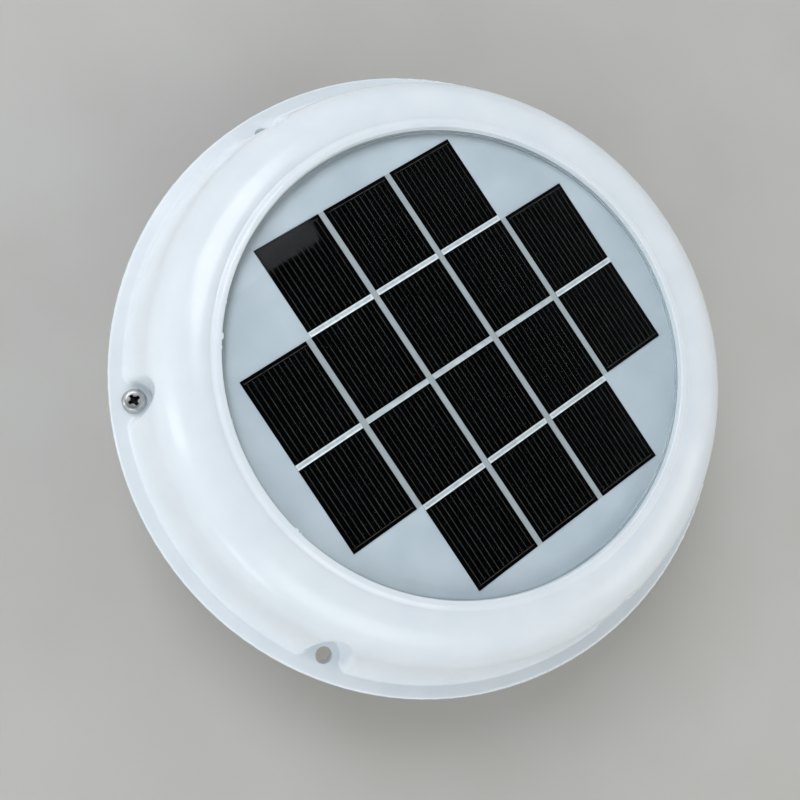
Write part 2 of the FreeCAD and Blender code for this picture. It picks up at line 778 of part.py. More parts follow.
node("motor_brushes", group("brush_pair", [
    spoke(f"brush_{k}", brush_inner, skirt_inner - brush_end_gap, brush_width, brush_low, brush_top, 180.0 * k)
    for k in range(2)]))
node("motor_terminals", group("terminal_pair", [
    block(f"terminal_{side}", (terminal_offset * side - terminal_thickness / 2, -terminal_width / 2, brush_top),
          (terminal_thickness, terminal_width, terminal_top - brush_top)) for side in (-1, 1)]))
node("motor_screws", group("motor_screw_pair", [
    pan_screw(f"motor_screw_{k}", motor_screw_radius, motor_screw_head, motor_screw_head_height,
              motor_screw_length, motor_screw_circle * (2 * k - 1), ZERO, cup_low, False) for k in range(2)]))

# ---- Rotor ----

node("motor_shaft", drum("shaft", shaft_radius, shaft_low, end_cap_top + shaft_stub))


def shaft_bore(name):
    return drum(name, shaft_radius, hub_low - wall, end_cap_top + wall)


core_pieces = [drum("core_middle", core_middle_radius, core_low, core_top)]
for k in range(3):
    middle = 120.0 * k + 90.0
    core_pieces.append(spoke(f"pole_{k + 1}", shaft_radius, core_radius - shoe_depth / 2, pole_width, core_low,
                             core_top, middle))
    core_pieces.append(cut(f"shoe_{k + 1}", drum(f"shoe_out_{k + 1}", core_radius, core_low, core_top,
                                                 sweep=shoe_sweep, turn=middle - shoe_sweep / 2),
                           drum(f"shoe_in_{k + 1}", core_radius - shoe_depth, core_low - wall, core_top + wall)))
node("armature_core", cut("core", fuse("core_form", core_pieces), shaft_bore("core_bore")))

coil_inner = core_middle_radius + winding_inner_gap
coil_outer = core_radius - shoe_depth - winding_outer_gap
coil_width = pole_width + winding_depth * 2
node("armature_windings", group("coil_set", [
    cut(f"coil_{k + 1}", spoke(f"coil_out_{k + 1}", coil_inner, coil_outer, coil_width, core_low - winding_depth,
                               core_top + winding_depth, 120.0 * k + 90.0),
        spoke(f"coil_in_{k + 1}", coil_inner - wall, coil_outer + wall, pole_width, core_low, core_top,
              120.0 * k + 90.0)) for k in range(3)]))
node("commutator", tube("commutator_ring", commutator_radius, shaft_radius, commutator_low, commutator_top))


def blade_section(body, name, offset, chord, pitch):
    # One cross section of a blade, standing on a plane across the radius.
    sketch = body.newObject("Sketcher::SketchObject", name)
    sketch.AttachmentSupport = [(origin_plane(body, "YZ_Plane"), "")]
    sketch.MapMode = "FlatFace"
    sketch.setExpression("AttachmentOffset.Base.z", offset.words)
    lean = math.radians(pitch)
    along = (math.cos(lean), math.sin(lean))
    corners = []
    for end, side in ((-1, -1), (1, -1), (1, 1), (-1, 1)):
        run = chord * (0.5 * end)
        rise = blade_thickness * (0.5 * side)
        corners.append((run * along[0] - rise * along[1], blade_middle + run * along[1] + rise * along[0]))
    outline(sketch, corners)
    sketch.Visibility = False
    return sketch


impeller = turned("impeller_body", [
    (shaft_radius, hub_boss_low),
    (hub_boss_radius, hub_boss_low),
    (hub_boss_radius, web_low),
    (hub_inner, web_low),
    (hub_inner, hub_low),
    (hub_outer, hub_low),
    (hub_outer, hub_top),
    (hub_inner, hub_top),
    (hub_inner, web_top),
    (shaft_radius, web_top),
])
doc.recompute()
root_section = blade_section(impeller, "blade_root", hub_inner + blade_root_sink, root_chord, root_pitch)
tip_section = blade_section(impeller, "blade_tip", tip_radius - blade_tip_bow, tip_chord, tip_pitch)
blade = impeller.newObject("PartDesign::AdditiveLoft", "blade")
blade.Profile = root_section
blade.Sections = [tip_section]
blade.Ruled = True
doc.recompute()
blades = impeller.newObject("PartDesign::PolarPattern", "blades")
blades.Originals = [blade]
blades.Axis = (next(axis for axis in impeller.Origin.OriginFeatures if axis.Role == "Z_Axis"), [""])
blades.Angle = 360.0
blades.Occurrences = blade_count
impeller.Tip = blades
node("impeller", impeller)
node("impeller_cap", drum("hub_cap", hub_inner - cap_clearance, hub_low, hub_low + cap_height))

# ---- Insect screen, closing grille, shutter and pivot ----

screen_half = int((grille_radius.mm - screen_rim.mm) / screen_pitch.mm)
screen_wires = []
for k in range(-screen_half, screen_half + 1):
    offset = screen_pitch * k - screen_wire / 2
    screen_wires.append(block(f"warp_{k + screen_half}", (offset, -grille_radius, screen_low),
                              (screen_wire, grille_radius * 2, screen_wire)))
    screen_wires.append(block(f"weft_{k + screen_half}", (-grille_radius, offset, screen_low),
                              (grille_radius * 2, screen_wire, screen_wire)))
screen_disc = drum("screen_disc", grille_radius - screen_rim / 2, screen_low, screen_top)
screen_mesh = common("screen_mesh", screen_disc, fuse("screen_weave", screen_wires))
screen_frame = tube("screen_frame", grille_radius, grille_radius - screen_rim, screen_low, screen_top)
node("insect_screen", fuse("screen", [screen_mesh, screen_frame]))


def sectors(name, low, high):
    # The ring of sector openings that the grille and the shutter share.
    step = 360.0 / sector_count
    wedges = [drum(f"{name}_wedge_{k}", sector_outer, low - wall, high + wall, sweep=sector_angle,
                   turn=k * step - sector_angle / 2) for k in range(sector_count)]
    return cut(name + "_sectors", fuse(name + "_wedges", wedges),
               drum(name + "_middle", sector_inner, low - wall * 2, high + wall * 2))


grille_plate = drum("grille_plate", grille_radius, grille_low, grille_top)
node("closing_grille", cut("grille", grille_plate, [
    sectors("grille", grille_low, grille_top),
    drum("grille_bore", pivot_radius, grille_low - wall, grille_top + wall),
]))

fin_inner = sector_inner + fin_inset
shutter_form = fuse("shutter_form", [
    drum("shutter_plate", shutter_radius, shutter_low, shutter_top),
    drum("shutter_boss", boss_radius, boss_low, shutter_low),
] + [spoke(f"fin_{k}", fin_inner, fin_inner + fin_length, fin_thickness, shutter_low - fin_height, shutter_low,
           sector_angle + 180.0 * k) for k in range(2)])
node("shutter_disc", cut("shutter", shutter_form, [
    sectors("shutter", shutter_low, shutter_top),
    drum("shutter_bore", pivot_radius + pivot_clearance, boss_low - wall, shutter_top + wall),
]))
node("shutter_pivot", fuse("pivot", [
    drum("pivot_pin", pivot_radius, pivot_head_top, grille_top),
    drum("pivot_button", pivot_head, pivot_low, pivot_head_top),
]))

# ---- Wires from the motor's terminals to the panel's solder pads ----

arc_share = 0.45


def wire(name, route):
    # A round wire along straight runs joined by arcs as large as the shorter run allows.
    points = [Vector(*(sized(value).mm for value in point)) for point in route]
    edges = []
    radii = []
    start = points[0]
    for i in range(1, len(points) - 1):
        back = (points[i - 1] - points[i])
        ahead = (points[i + 1] - points[i])
        reach = arc_share * min(back.Length, ahead.Length)
        turn = math.pi - back.getAngle(ahead)
        radii.append(reach / math.tan(turn / 2))
        back.normalize()
        ahead.normalize()
        first = points[i] + back * reach
        last = points[i] + ahead * reach
        centre = points[i] + (back + ahead).normalize() * (radii[-1] / math.cos(turn / 2))
        middle = centre + (points[i] - centre).normalize() * radii[-1]
        edges.append(Part.LineSegment(start, first).toShape())
        edges.append(Part.Arc(first, middle, last).toShape())
        start = last
    edges.append(Part.LineSegment(start, points[-1]).toShape())
    path = Part.Wire(edges)
    end_circle = Part.Circle(points[0], (points[1] - points[0]).normalize(), wire_radius.mm)
    solid = path.makePipeShell([Part.Wire([end_circle.toShape()])], True, True)
    lead = doc.addObject("Part::Feature", name)
    lead.Shape = solid
    expected = math.pi * wire_radius.mm ** 2 * path.Length
    print(f"{name}: arcs {[round(r, 2) for r in radii]} mm, volume {solid.Volume:.3f} of {expected:.3f} mm3")
    return lead


lead_low = motor_cover_top + lead_rise
lead_high = grommet_flange_low - lead_drop
for name, side in (("positive_wire", 1), ("negative_wire", -1)):
    node(name, wire(name, [
        (terminal_offset * side, ZERO, terminal_top),
        (terminal_offset * side, ZERO, lead_low),
        (wire_spacing * side, ZERO, lead_high),
        (wire_spacing * side, ZERO, pad_low),
    ]))

doc.recompute()

for item in doc.Objects:
    if "Invalid" in item.State or "Error" in item.State:
        raise RuntimeError(f"{item.Name} is {item.State}")
os.makedirs("parts", exist_ok=True)
for label, item in nodes.items():
    shape = item.Shape
    if shape.isNull() or not shape.isValid():
        raise RuntimeError(f"{label} has no valid shape")
    box = shape.BoundBox
    print(f"{label}: solids {len(shape.Solids)} volume {shape.Volume:.1f} "
          f"r {box.XMax:.2f} z {box.ZMin:.2f}..{box.ZMax:.2f}")
    shape.exportStep(f"parts/{label}.step")
print(len(nodes), "nodes")
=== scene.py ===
import bpy
import math
from mathutils import Matrix, Vector


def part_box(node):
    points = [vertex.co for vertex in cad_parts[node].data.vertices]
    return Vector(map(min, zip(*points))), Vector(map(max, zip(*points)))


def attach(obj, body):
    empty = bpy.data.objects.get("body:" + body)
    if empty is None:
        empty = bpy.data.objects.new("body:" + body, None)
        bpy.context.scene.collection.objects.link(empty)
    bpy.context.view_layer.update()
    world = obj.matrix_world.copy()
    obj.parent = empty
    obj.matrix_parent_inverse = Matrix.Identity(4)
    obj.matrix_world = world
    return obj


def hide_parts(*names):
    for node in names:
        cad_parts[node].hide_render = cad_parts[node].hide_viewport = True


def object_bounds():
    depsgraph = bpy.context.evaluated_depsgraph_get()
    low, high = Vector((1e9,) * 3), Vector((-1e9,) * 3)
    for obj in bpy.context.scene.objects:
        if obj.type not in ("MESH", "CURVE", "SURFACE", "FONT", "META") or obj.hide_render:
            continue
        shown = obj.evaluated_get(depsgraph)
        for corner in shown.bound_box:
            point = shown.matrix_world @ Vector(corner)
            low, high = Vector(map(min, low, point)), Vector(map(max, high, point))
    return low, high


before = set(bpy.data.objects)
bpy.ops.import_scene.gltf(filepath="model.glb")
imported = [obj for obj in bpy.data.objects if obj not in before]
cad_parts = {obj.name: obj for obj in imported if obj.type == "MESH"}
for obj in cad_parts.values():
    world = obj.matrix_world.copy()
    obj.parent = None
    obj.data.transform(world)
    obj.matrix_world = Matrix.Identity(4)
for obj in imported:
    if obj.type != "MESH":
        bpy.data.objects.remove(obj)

cadBox = [list(corner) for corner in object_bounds()]
mm = 0.001
scene = bpy.context.scene
print("frame loaded:", len(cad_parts), "CAD nodes")

# Camera
cameraView = {
    "place": (-0.10188, -0.04739, 0.32261),
    "turn": (8.788, -14.378, -7.703),  # degrees about X, Y and Z
    "lens": 41.29,
    "nearest": 0.01,
}
cameraData = bpy.data.cameras.new("camera")
cameraData.lens = cameraView["lens"]
cameraData.clip_start = cameraView["nearest"]
camera = bpy.data.objects.new("camera", cameraData)
camera.location = cameraView["place"]
camera.rotation_euler = [math.radians(angle) for angle in cameraView["turn"]]
scene.collection.objects.link(camera)
scene.camera = camera
scene.view_settings.view_transform = "Standard"


def hexColour(text):
    # Turns an sRGB hex value into the linear colour that a shader takes.
    channels = [int(text[i:i + 2], 16) / 255 for i in (1, 3, 5)]
    return tuple(c / 12.92 if c <= 0.04045 else ((c + 0.055) / 1.055) ** 2.4 for c in channels) + (1.0,)


def addNode(tree, kind, inputs=None, stops=(), **settings):
    # Adds a node. An input is a value or the socket that feeds it; stops are a ramp's places and colours.
    node = tree.nodes.new(kind)
    for name, value in settings.items():
        setattr(node, name, value)
    for name, value in (inputs or {}).items():
        if isinstance(value, bpy.types.NodeSocket):
            tree.links.new(value, node.inputs[name])
        else:
            node.inputs[name].default_value = value
    for index, (place, colour) in enumerate(stops):
        node.color_ramp.elements[index].position = place
        node.color_ramp.elements[index].color = hexColour(colour)
    return node


# Solar panel: sixteen cells on a grid that is turned about the axis; sizes in mm, angles in degrees
panel = {
    "gridTurn": 27.1,
    "cellWidth": 25.0,
    "cellLength": 31.25,
    "columnGap": 2.1,
    "rowGap": 1.9,
    "columns": ((1, 2, 3), (0, 1, 2, 3, 4), (0, 1, 2, 3, 4), (1, 2, 3)),  # in each row, from the back
    "cellEdge": 0.05,
    "fingers": 12,
    "sideMargin": 0.8,  # from the cell's side to its first finger, in finger pitches
    "fingerWidth": 0.14,  # drawn wider than the printed 0.1 mm, to show
    "printHeight": 0.02,
    "printMargin": 0.8,  # between the print and the cell's ends
    "busbarIn": 1.3,  # from the cell's outer end to its busbar
    "busbarWidth": 0.22,
    "ribbonWidth": 1.86,
    "ribbonThickness": 0.2,
    "ribbonLift": 0.1,
    "reheated": (1, (1, 2, 3)),  # the row and columns whose ribbons are duller
    "channelIn": 0.55,  # from the ribbon's edge to its shallow channel
    "channelDepth": 0.06,
    "paneGap": 0.06,  # to the sealant
    "paneLift": 0.06,  # above the cells
    "paneChamfer": 0.3,
    "paneSides": 192,
}

# Finishes. cloud is the size in mm of the slow change between the two colours, and skin that of the
# fine texture, which varies the gloss and stands depth mm high. stretch draws the skin out into streaks.
looks = {
    # Injection-moulded ABS from a polished mould: cool even white, soft gloss, faintly rippled reflections
    "mouldedAbsCover": {"colours": ("#E9EFF3", "#EFF4F7"), "cloud": 14.0, "gloss": (0.19, 0.25), "skin": 0.9,
                        "depth": 0.003, "shader": {"IOR": 1.53}},
    # The same ABS from an etched mould: a drier, greyer white with a tooth drawn coarser than its 0.1 mm
    "mouldedAbsHousing": {"colours": ("#DDE1E3", "#E6E9EA"), "cloud": 14.0, "gloss": (0.36, 0.48),
                          "skin": 0.5, "depth": 0.01, "shader": {"IOR": 1.53}},
    # Injection-moulded polypropylene: slightly waxy and less white than the ABS
    "mouldedPolypropylene": {"colours": ("#D3D7D8", "#DDE0E1"), "cloud": 12.0, "gloss": (0.32, 0.44),
                             "skin": 0.7, "depth": 0.01, "shader": {"IOR": 1.49}},
    # Moulded glass-filled nylon: near black with a satin, faintly fibrous skin
    "mouldedNylonBlack": {"colours": ("#131314", "#1B1B1C"), "cloud": 8.0, "gloss": (0.38, 0.52),
                          "skin": 0.6, "depth": 0.01, "stretch": (1.0, 3.0, 1.0), "shader": {"IOR": 1.53}},
    # Extruded PVC sleeves on the leads: saturated colour, smooth along their length
    "extrudedPvcRed": {"colours": ("#8E0F0C", "#A3120E"), "cloud": 6.0, "gloss": (0.3, 0.4), "skin": 0.8,
                       "depth": 0.004, "shader": {"IOR": 1.54}},
    "extrudedPvcBlack": {"colours": ("#0E0E0E", "#161616"), "cloud": 6.0, "gloss": (0.3, 0.4), "skin": 0.8,
                         "depth": 0.004, "shader": {"IOR": 1.54}},
    # Sintered ferrite: dull charcoal, gritty where the pressed powder shows
    "sinteredFerrite": {"colours": ("#1C1C1D", "#2B2B2C"), "cloud": 3.0, "gloss": (0.63, 0.77), "skin": 0.4,
                        "depth": 0.05, "shader": {"IOR": 1.5}},
    # Moulded rubber: black, matt, with a fine pitted skin
    "mouldedRubberBlack": {"colours": ("#111111", "#1C1C1C"), "cloud": 4.0, "gloss": (0.68, 0.82),
                           "skin": 0.5, "depth": 0.05, "shader": {"IOR": 1.5}},
    # Closed-cell foam: black and dry, with cells of about 0.8 mm showing through
    "closedCellFoam": {"colours": ("#17181A", "#2A2B2C"), "cloud": 0.8, "gloss": (0.82, 0.98), "skin": 0.8,
                       "depth": 0.08, "shader": {"IOR": 1.5}},
    # Tooled silicone sealant: smooth satin grey
    "siliconeSealant": {"colours": ("#9EA9AC", "#A6B1B4"), "cloud": 9.0, "gloss": (0.38, 0.44), "skin": 1.5,
                        "depth": 0.01, "shader": {"IOR": 1.41}},
    # Silicon wafer with its anti-reflection coat: near black, faintly blue in clouds, hardly any shine
    "coatedSilicon": {"colours": ("#010101", "#030304"), "cloud": 9.0, "gloss": (0.45, 0.55), "skin": 3.0,
                      "depth": 0.0, "shader": {"IOR": 1.5, "Specular IOR Level": 0.01}},
    # Screen-printed silver paste: thin dull grey lines, paler here and there
    "silverPasteFingers": {"colours": ("#31312D", "#4A4945"), "cloud": 4.0, "gloss": (0.55, 0.65),
                           "skin": 1.2, "depth": 0.002, "shader": {"IOR": 1.5, "Specular IOR Level": 0.1}},
    "silverPasteBusbar": {"colours": ("#2C2B28", "#4C4A46"), "cloud": 1.2, "gloss": (0.55, 0.65),
                          "skin": 1.2, "depth": 0.002, "shader": {"IOR": 1.5, "Specular IOR Level": 0.1}},
    # Hot-tinned copper ribbon: pale satin metal, greyer where it was reheated, with a darker metal in its
    # middle channel as painted shade
    "tinnedCopperBright": {"colours": ("#D8DADB", "#ECEDED"), "cloud": 2.5, "gloss": (0.45, 0.75),
                           "skin": 0.6, "depth": 0.004, "stretch": (1.0, 1.0, 8.0),
                           "shader": {"Metallic": 1.0}},
    "tinnedCopperWornAndChannelShade": {"colours": ("#BEC1C2", "#D4D6D7"), "cloud": 2.5, "gloss": (0.48, 0.8), "skin": 0.6,
                         "depth": 0.004, "stretch": (1.0, 1.0, 8.0), "shader": {"Metallic": 1.0}},
    "tinnedCopperReheatedChannelShade": {"colours": ("#9A9D9B", "#AEB1AF"), "cloud": 2.5, "gloss": (0.48, 0.8), "skin": 0.6,
                         "depth": 0.004, "stretch": (1.0, 1.0, 8.0), "shader": {"Metallic": 1.0}},
    # Cold-headed stainless steel: grey, bright, with fine marks across the head
    "headedStainless": {"colours": ("#A9AAA8", "#C9CAC8"), "cloud": 1.5, "gloss": (0.3, 0.44), "skin": 0.8,
                        "depth": 0.004, "stretch": (1.0, 1.0, 8.0), "shader": {"Metallic": 1.0}},
    # The punched recess in it: painted black, standing in for the shade that falls in the recess
    "recessPaintedShade": {"colours": ("#1A1A1A", "#343434"), "cloud": 1.0, "gloss": (0.4, 0.6), "skin": 0.5,
                      "depth": 0.004, "shader": {"Metallic": 1.0}},
    # Drawn stainless wire: grey with die lines along it
    "drawnStainlessWire": {"colours": ("#8F9394", "#B4B7B8"), "cloud": 2.0, "gloss": (0.24, 0.44),
                           "skin": 0.5, "depth": 0.004, "stretch": (1.0, 1.0, 8.0),
                           "shader": {"Metallic": 1.0}},
    # Zinc-plated rolled steel: cool grey with faint rolling streaks
    "zincPlatedSteel": {"colours": ("#9DA3A8", "#B9BEC2"), "cloud": 5.0, "gloss": (0.22, 0.42), "skin": 1.5,
                        "depth": 0.004, "stretch": (1.0, 1.0, 8.0), "shader": {"Metallic": 1.0}},
    # Stacked motor laminations: streaks across the stack 0.5 mm apart, where one sheet meets the next
    "stackedLaminations": {"colours": ("#5D6063", "#8C8F92"), "cloud": 4.0, "gloss": (0.28, 0.52),
                           "skin": 0.5, "depth": 0.02, "stretch": (0.05, 0.05, 1.0),
                           "shader": {"Metallic": 1.0}},
    # Sintered bronze: warm, open-pored and oily
    "sinteredBronze": {"colours": ("#96703C", "#B98A4C"), "cloud": 2.0, "gloss": (0.25, 0.45), "skin": 0.6,
                       "depth": 0.01, "shader": {"Metallic": 1.0}},
    # Enamelled copper wire, wound: deep red-brown, glossy, its 0.35 mm turns showing as lines
    "enamelledCopper": {"colours": ("#7C2F12", "#A8471F"), "cloud": 1.5, "gloss": (0.18, 0.32), "skin": 0.35,
                        "depth": 0.05, "stretch": (1.0, 1.0, 0.3), "shader": {"Metallic": 1.0}},
    # Painted board that the object stands on: an even, warm pale grey
    "paleFloor": {"colours": ("#C6C2BC", "#CBC8C2"), "cloud": 60.0, "gloss": (0.55, 0.65), "skin": 4.0,
                  "depth": 0.02, "shader": {"IOR": 1.45}},
}

# How fine the textures are
texture = {
    "cloudDetail": 2.0,
    "skinDetail": 3.0,
    "cloudStops": (0.3, 0.7),  # where along the cloud noise the two colours stand
}


def startMaterial(name):
    # A new material with its tree, its shader and the place on the piece.
    material = bpy.data.materials.new(name)
    material.use_nodes = True
    tree = material.node_tree
    place = addNode(tree, "ShaderNodeTexCoord").outputs["Object"]
    return material, tree, tree.nodes["Principled BSDF"], place


def makeSurface(name, look):
    # One finish from the table: a colour cloud, a gloss that varies with the skin, and the skin's height.
    material, tree, shader, place = startMaterial(name)
    for socket, value in look["shader"].items():
        shader.inputs[socket].default_value = value
    cloud = addNode(tree, "ShaderNodeTexNoise", {"Vector": place, "Scale": 1 / (look["cloud"] * mm),
                                                 "Detail": texture["cloudDetail"]})
    colour = addNode(tree, "ShaderNodeValToRGB", {"Fac": cloud.outputs["Fac"]},
                     stops=tuple(zip(texture["cloudStops"], look["colours"])))
    tree.links.new(colour.outputs["Color"], shader.inputs["Base Color"])
    drawn = addNode(tree, "ShaderNodeMapping", {"Vector": place,
                                                "Scale": look.get("stretch", (1.0, 1.0, 1.0))})
    skin = addNode(tree, "ShaderNodeTexNoise", {"Vector": drawn.outputs["Vector"],
                                                "Scale": 1 / (look["skin"] * mm),
                                                "Detail": texture["skinDetail"]})
    smooth, rough = look["gloss"]
    gloss = addNode(tree, "ShaderNodeMapRange", {"Value": skin.outputs["Fac"],
                                                 "To Min": smooth, "To Max": rough})
    tree.links.new(gloss.outputs["Result"], shader.inputs["Roughness"])
    if look["depth"]:
        bump = addNode(tree, "ShaderNodeBump", {"Height": skin.outputs["Fac"],
                                                "Distance": look["depth"] * mm})
        tree.links.new(bump.outputs["Normal"], shader.inputs["Normal"])
    return material


coverSheet = {
    "tint": "#F7FBFC",
    "shader": {"IOR": 1.15, "Roughness": 0.03, "Transmission Weight": 1.0},
    "ripple": 18.0,  # mm long
    "rippleHeight": 0.02,  # mm
}


def makeCoverSheet():
    # Clear cover sheet: faintly blue, with a trace of long ripple. Its IOR is set low for the faint
    # reflections of a coated sheet, and lamps shine through it.
    material, tree, shader, place = startMaterial("clearCoverSheet")
    tint = hexColour(coverSheet["tint"])
    shader.inputs["Base Color"].default_value = tint
    for socket, value in coverSheet["shader"].items():
        shader.inputs[socket].default_value = value
    ripple = addNode(tree, "ShaderNodeTexNoise", {"Vector": place, "Scale": 1 / (coverSheet["ripple"] * mm),
                                                  "Detail": texture["cloudDetail"]})
    bump = addNode(tree, "ShaderNodeBump", {"Height": ripple.outputs["Fac"],
                                            "Distance": coverSheet["rippleHeight"] * mm})
    tree.links.new(bump.outputs["Normal"], shader.inputs["Normal"])
    clear = addNode(tree, "ShaderNodeBsdfTransparent", {"Color": tint})
    rays = addNode(tree, "ShaderNodeLightPath")
    mix = addNode(tree, "ShaderNodeMixShader", {"Fac": rays.outputs["Is Shadow Ray"]})
    tree.links.new(shader.outputs["BSDF"], mix.inputs[1])
    tree.links.new(clear.outputs["BSDF"], mix.inputs[2])
    tree.links.new(mix.outputs["Shader"], tree.nodes["Material Output"].inputs["Surface"])
    return material


laminate = {
    "colours": ("#AEB4B9", "#C0C5C9"),
    # Grey for the gaps between cells: the thick filler's colour with painted shade added
    "gapFillerAndShadeColour": "#A1A4A4",
    "shader": {"IOR": 1.45, "Roughness": 0.55},
    "cloud": 26.0,  # mm
    "blocks": ((5, 2), (3, 4)),  # columns and rows of the two blocks of cells that cross
}


def makeBackingLaminate():
    # Laminated polyester sheet under the cells: pale and slightly cloudy, and greyer in the gaps of the cell
    # grid, partly for the thick clear filler there and partly as painted shade between the cells.
    material, tree, shader, place = startMaterial("backingLaminate")
    for socket, value in laminate["shader"].items():
        shader.inputs[socket].default_value = value
    cloud = addNode(tree, "ShaderNodeTexNoise", {"Vector": place, "Scale": 1 / (laminate["cloud"] * mm),
                                                 "Detail": texture["skinDetail"]})
    sheet = addNode(tree, "ShaderNodeValToRGB", {"Fac": cloud.outputs["Fac"]},
                    stops=tuple(zip(texture["cloudStops"], laminate["colours"])))
    turned = addNode(tree, "ShaderNodeMapping", {"Vector": place,
                                                 "Rotation": (0, 0, -math.radians(panel["gridTurn"]))})
    onGrid = addNode(tree, "ShaderNodeSeparateXYZ", {"Vector": turned.outputs["Vector"]})
    inside = []
    for columns, rows in laminate["blocks"]:
        halfWidth = (columns * (panel["cellWidth"] + panel["columnGap"]) - panel["columnGap"]) / 2 * mm
        halfLength = (rows * (panel["cellLength"] + panel["rowGap"]) - panel["rowGap"]) / 2 * mm
        limits = []
        for axis, limit in (("X", halfWidth), ("Y", halfLength)):
            away = addNode(tree, "ShaderNodeMath", {0: onGrid.outputs[axis]}, operation="ABSOLUTE")
            limits.append(addNode(tree, "ShaderNodeMath", {0: away.outputs[0], 1: limit},
                                  operation="LESS_THAN"))
        inside.append(addNode(tree, "ShaderNodeMath", {0: limits[0].outputs[0], 1: limits[1].outputs[0]},
                              operation="MULTIPLY"))
    within = addNode(tree, "ShaderNodeMath", {0: inside[0].outputs[0], 1: inside[1].outputs[0]},
                     operation="MAXIMUM")
    # Inputs 6 and 7 of a Mix node are its two colours, and output 2 is the mixed one
    # Greyer colour within the cell blocks, seen only in the gaps: partly filler, partly painted shade
    fillerAndShade = addNode(tree, "ShaderNodeMix", {0: within.outputs[0], 6: sheet.outputs["Color"],
                                             7: hexColour(laminate["gapFillerAndShadeColour"])}, data_type="RGBA")
    tree.links.new(fillerAndShade.outputs[2], shader.inputs["Base Color"])
    return material


surfaces = {name: makeSurface(name, look) for name, look in looks.items()}
surfaces["clearCoverSheet"] = makeCoverSheet()
surfaces["backingLaminate"] = makeBackingLaminate()
print("materials made:", len(surfaces))

modelling = {
    "sharp": 30.0,  # degrees of turn above which an edge is sharp
    "merge": 0.002,  # mm
    "flat": 0.5,  # degrees below which faces count as one
}


def selectOnly(thing):
    if bpy.context.object and bpy.context.object.mode != "OBJECT":
        bpy.ops.object.mode_set(mode="OBJECT")
    bpy.ops.object.select_all(action="DESELECT")
    thing.select_set(True)
    bpy.context.view_layer.objects.active = thing


def settle(thing):
    # Puts a piece's place into its mesh.
    selectOnly(thing)
    bpy.ops.object.transform_apply(location=True, rotation=True, scale=True)
    return thing


def addBlock(width, length, height, across=0.0, along=0.0, low=0.0):
    # A block centred on across and along that stands on the height low.
    bpy.ops.object.select_all(action="DESELECT")
    bpy.ops.mesh.primitive_cube_add(size=1.0, location=(across, along, low + height / 2),
                                    scale=(width, length, height))
    return settle(bpy.context.object)


def addCylinder(radius, low, high, sides, footRadius=None):
    # A cylinder between two heights, or a taper where footRadius differs.
    bpy.ops.object.select_all(action="DESELECT")
    bpy.ops.mesh.primitive_cone_add(vertices=sides, radius1=footRadius or radius, radius2=radius,
                                    depth=high - low, location=(0, 0, (low + high) / 2))
    return settle(bpy.context.object)


def joinAll(things):
    bpy.ops.object.select_all(action="DESELECT")
    for thing in things:
        thing.select_set(True)
    bpy.context.view_layer.objects.active = things[0]
    bpy.ops.object.join()
    return bpy.context.object


def applyAll(thing):
    selectOnly(thing)
    for modifier in list(thing.modifiers):
        bpy.ops.object.modifier_apply(modifier=modifier.name)


def roundEdges(thing, width, segments, angle=modelling["sharp"]):
    # Rounds every edge that turns by more than the angle.
    bevel = thing.modifiers.new("edges", "BEVEL")
    bevel.width = width
    bevel.segments = segments
    bevel.limit_method = "ANGLE"
    bevel.angle_limit = math.radians(angle)
    applyAll(thing)


def cutOut(thing, cutter):
    # Takes the cutter away; the walls of the cut keep the cutter's material.
    selectOnly(thing)
    opening = thing.modifiers.new("opening", "BOOLEAN")
    opening.operation = "DIFFERENCE"
    opening.solver = "EXACT"
    opening.material_mode = "TRANSFER"
    opening.object = cutter
    applyAll(thing)
    bpy.data.objects.remove(cutter)


def paint(thing, *names):
    thing.data.materials.clear()
    for name in names:
        thing.data.materials.append(surfaces[name])
    return thing


def copyThing(thing, place):
    # A copy with its own mesh, moved by the matrix place.
    copy = thing.copy()
    copy.data = thing.data.copy()
    scene.collection.objects.link(copy)
    copy.matrix_world = place
    return settle(copy)


def editVertices(thing, choose):
    # Enters edit mode with only the vertices selected that choose(place) picks.
    selectOnly(thing)
    bpy.ops.object.mode_set(mode="EDIT")
    bpy.ops.mesh.select_mode(type="VERT")
    bpy.ops.mesh.select_all(action="DESELECT")
    bpy.ops.object.mode_set(mode="OBJECT")
    for vertex in thing.data.vertices:
        vertex.select = choose(vertex.co)
    bpy.ops.object.mode_set(mode="EDIT")


def copyNode(node):
    # A merged copy of a CAD node, its flat faces made whole again.
    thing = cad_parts[node].copy()
    thing.data = thing.data.copy()
    thing.parent = None
    for key in list(thing.keys()):
        del thing[key]
    scene.collection.objects.link(thing)
    selectOnly(thing)
    bpy.ops.object.mode_set(mode="EDIT")
    bpy.ops.mesh.select_all(action="SELECT")
    bpy.ops.mesh.remove_doubles(threshold=modelling["merge"] * mm)
    bpy.ops.mesh.dissolve_limited(angle_limit=math.radians(modelling["flat"]))
    bpy.ops.object.mode_set(mode="OBJECT")
    bpy.ops.mesh.customdata_custom_splitnormals_clear()
    return thing


def finish(thing, name, body, node, smooth=modelling["sharp"]):
    # Names a piece, shades it, ties it to its body and hides the CAD part that it stands for.
    settle(thing)
    thing.name = name
    thing.data.name = name
    if smooth:
        bpy.ops.object.shade_smooth_by_angle(angle=math.radians(smooth))
    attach(thing, body)
    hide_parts(node)


